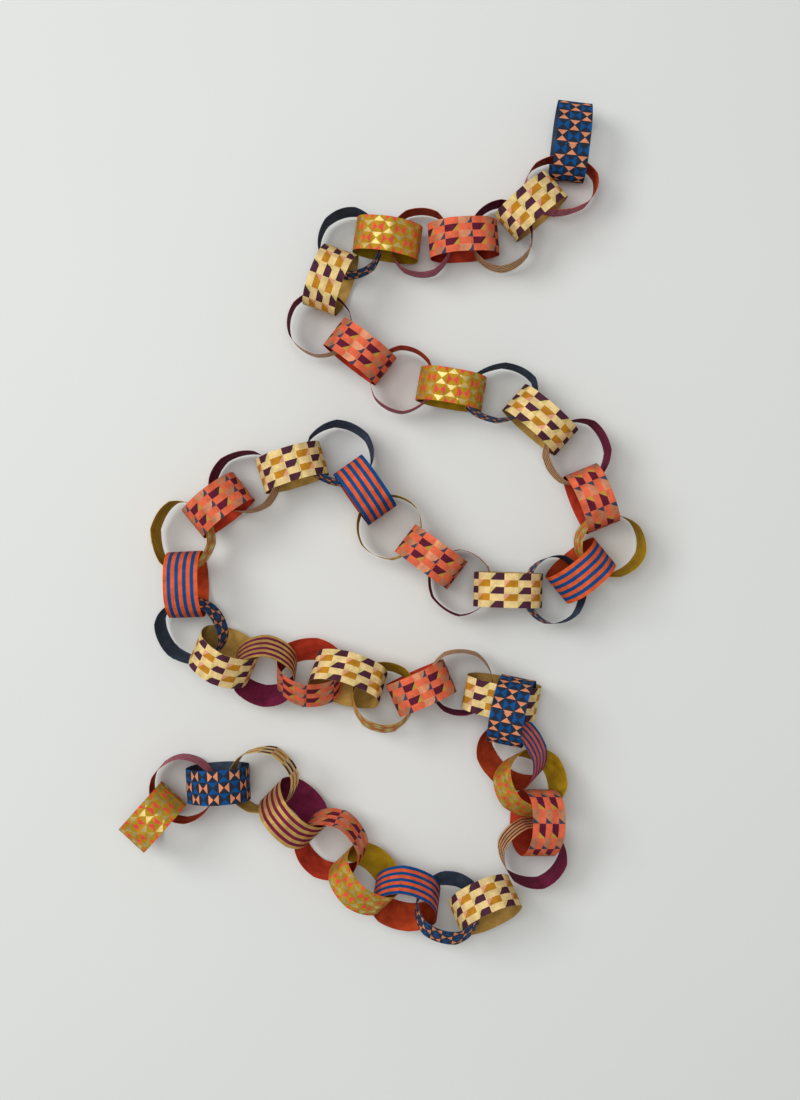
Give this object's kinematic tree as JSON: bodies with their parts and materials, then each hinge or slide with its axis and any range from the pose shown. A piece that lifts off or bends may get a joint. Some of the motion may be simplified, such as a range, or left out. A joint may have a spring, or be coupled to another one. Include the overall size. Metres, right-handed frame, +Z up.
{
  "type": "paper chain garland",
  "caption": "Paper chain garland of interlinked loops, each a patterned paper strip glued to itself, laid in a loose S on a table.",
  "frame": {"origin": "on the table, under the middle of the garland's bounding box", "axes": "+Z up from the table, +Y towards the chain's top end, +X to the right as seen from above with +Y away"},
  "size_m": [0.5143, 0.824, 0.0728],
  "materials": {
    "navy_hourglass": "printed paper: navy with peach and royal blue hourglass blocks outside, slate navy inside",
    "cream_brick": "printed paper: cream with ochre and plum brick blocks outside, tan gold inside",
    "coral_brick": "printed paper: coral with maroon and copper brick blocks outside, red orange inside",
    "mustard_hourglass": "printed paper: mustard with coral red and pale gold hourglass blocks outside, ochre inside",
    "blue_orange_stripe": "printed paper: royal blue and orange stripes along the strip outside, rust orange inside",
    "plum_gold_stripe": "printed paper: plum and gold stripes along the strip outside, maroon inside"
  },
  "bodies": {
    "root": {"loop_01_navy_hourglass": "navy_hourglass", "loop_02_blue_orange_stripe": "blue_orange_stripe", "loop_03_cream_brick": "cream_brick", "loop_04_plum_gold_stripe": "plum_gold_stripe", "loop_05_coral_brick": "coral_brick", "loop_06_blue_orange_stripe": "blue_orange_stripe", "loop_07_mustard_hourglass": "mustard_hourglass", "loop_08_navy_hourglass": "navy_hourglass", "loop_09_cream_brick": "cream_brick", "loop_10_plum_gold_stripe": "plum_gold_stripe", "loop_11_coral_brick": "coral_brick", "loop_12_blue_orange_stripe": "blue_orange_stripe", "loop_13_mustard_hourglass": "mustard_hourglass", "loop_14_navy_hourglass": "navy_hourglass", "loop_15_cream_brick": "cream_brick", "loop_16_plum_gold_stripe": "plum_gold_stripe", "loop_17_coral_brick": "coral_brick", "loop_18_mustard_hourglass": "mustard_hourglass", "loop_19_blue_orange_stripe": "blue_orange_stripe", "loop_20_navy_hourglass": "navy_hourglass", "loop_21_cream_brick": "cream_brick", "loop_22_plum_gold_stripe": "plum_gold_stripe", "loop_23_coral_brick": "coral_brick", "loop_24_mustard_hourglass": "mustard_hourglass", "loop_25_blue_orange_stripe": "blue_orange_stripe", "loop_26_navy_hourglass": "navy_hourglass", "loop_27_cream_brick": "cream_brick", "loop_28_plum_gold_stripe": "plum_gold_stripe", "loop_29_coral_brick": "coral_brick", "loop_30_mustard_hourglass": "mustard_hourglass", "loop_31_blue_orange_stripe": "blue_orange_stripe", "loop_32_navy_hourglass": "navy_hourglass", "loop_33_cream_brick": "cream_brick", "loop_34_plum_gold_stripe": "plum_gold_stripe", "loop_35_coral_brick": "coral_brick", "loop_36_cream_brick": "cream_brick", "loop_37_mustard_hourglass": "mustard_hourglass", "loop_38_coral_brick": "coral_brick", "loop_39_plum_gold_stripe": "plum_gold_stripe", "loop_40_cream_brick": "cream_brick", "loop_41_navy_hourglass": "navy_hourglass", "loop_42_blue_orange_stripe": "blue_orange_stripe", "loop_43_mustard_hourglass": "mustard_hourglass", "loop_44_coral_brick": "coral_brick", "loop_45_plum_gold_stripe": "plum_gold_stripe", "loop_46_cream_brick": "cream_brick", "loop_47_navy_hourglass": "navy_hourglass", "loop_48_blue_orange_stripe": "blue_orange_stripe", "loop_49_mustard_hourglass": "mustard_hourglass", "loop_50_coral_brick": "coral_brick", "loop_51_plum_gold_stripe": "plum_gold_stripe", "loop_52_cream_brick": "cream_brick", "loop_53_navy_hourglass": "navy_hourglass", "loop_54_blue_orange_stripe": "blue_orange_stripe", "loop_55_mustard_hourglass": "mustard_hourglass"}
  },
  "joints": []
}
